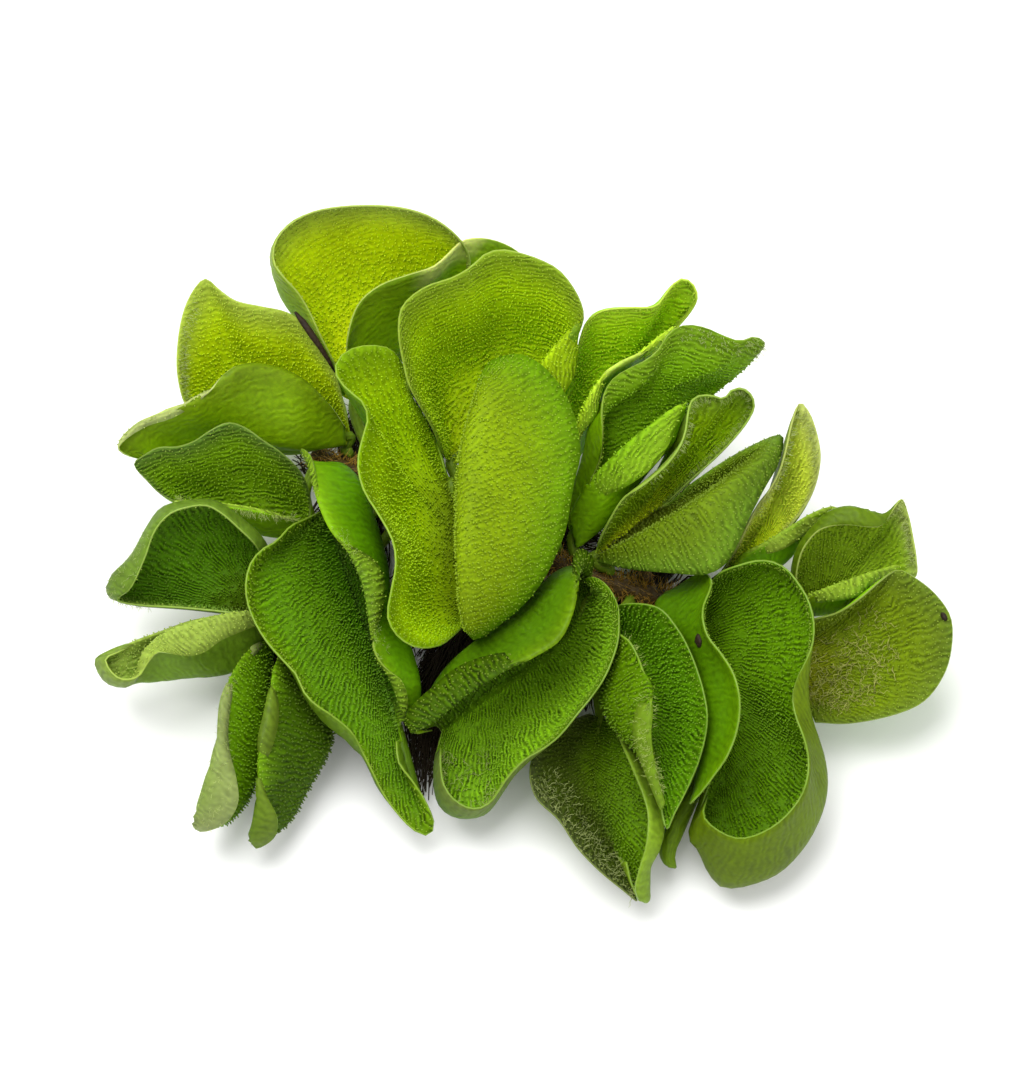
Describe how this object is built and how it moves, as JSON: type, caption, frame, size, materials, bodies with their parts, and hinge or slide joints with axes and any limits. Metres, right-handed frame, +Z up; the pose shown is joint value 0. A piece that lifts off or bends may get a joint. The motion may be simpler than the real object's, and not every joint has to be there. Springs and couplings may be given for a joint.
{
  "type": "salvinia plant",
  "caption": "Mature floating salvinia plant: velvety green leaves folded up along their midribs crowd a short hairy stem with brown root tufts.",
  "frame": {"origin": "middle of the plant's outline on the surface it rests on", "axes": "+Z up, -Y towards the viewer, +X to the right of the view"},
  "size_m": [0.1198, 0.0947, 0.034],
  "materials": {
    "leaf": "matte",
    "stem": "matte",
    "root": "matte"
  },
  "bodies": {
    "root": {"leaf_back_left": "leaf", "leaf_left_upper": "leaf", "leaf_left_middle": "leaf", "leaf_left_outer": "leaf", "leaf_low_left_outer": "leaf", "leaf_low_left_inner": "leaf", "leaf_front_left": "leaf", "leaf_center": "leaf", "leaf_back_center": "leaf", "leaf_back_small": "leaf", "leaf_back_right": "leaf", "leaf_right_inner": "leaf", "leaf_right_upper": "leaf", "leaf_right_outer": "leaf", "leaf_right_lower": "leaf", "leaf_front_right": "leaf", "leaf_front_middle": "leaf", "leaf_front_tip": "leaf", "leaf_front_center": "leaf", "leaf_young": "leaf", "rhizome": "stem", "rhizome_branch": "stem", "roots_left": "root", "roots_middle": "root", "roots_right": "root"}
  },
  "joints": []
}
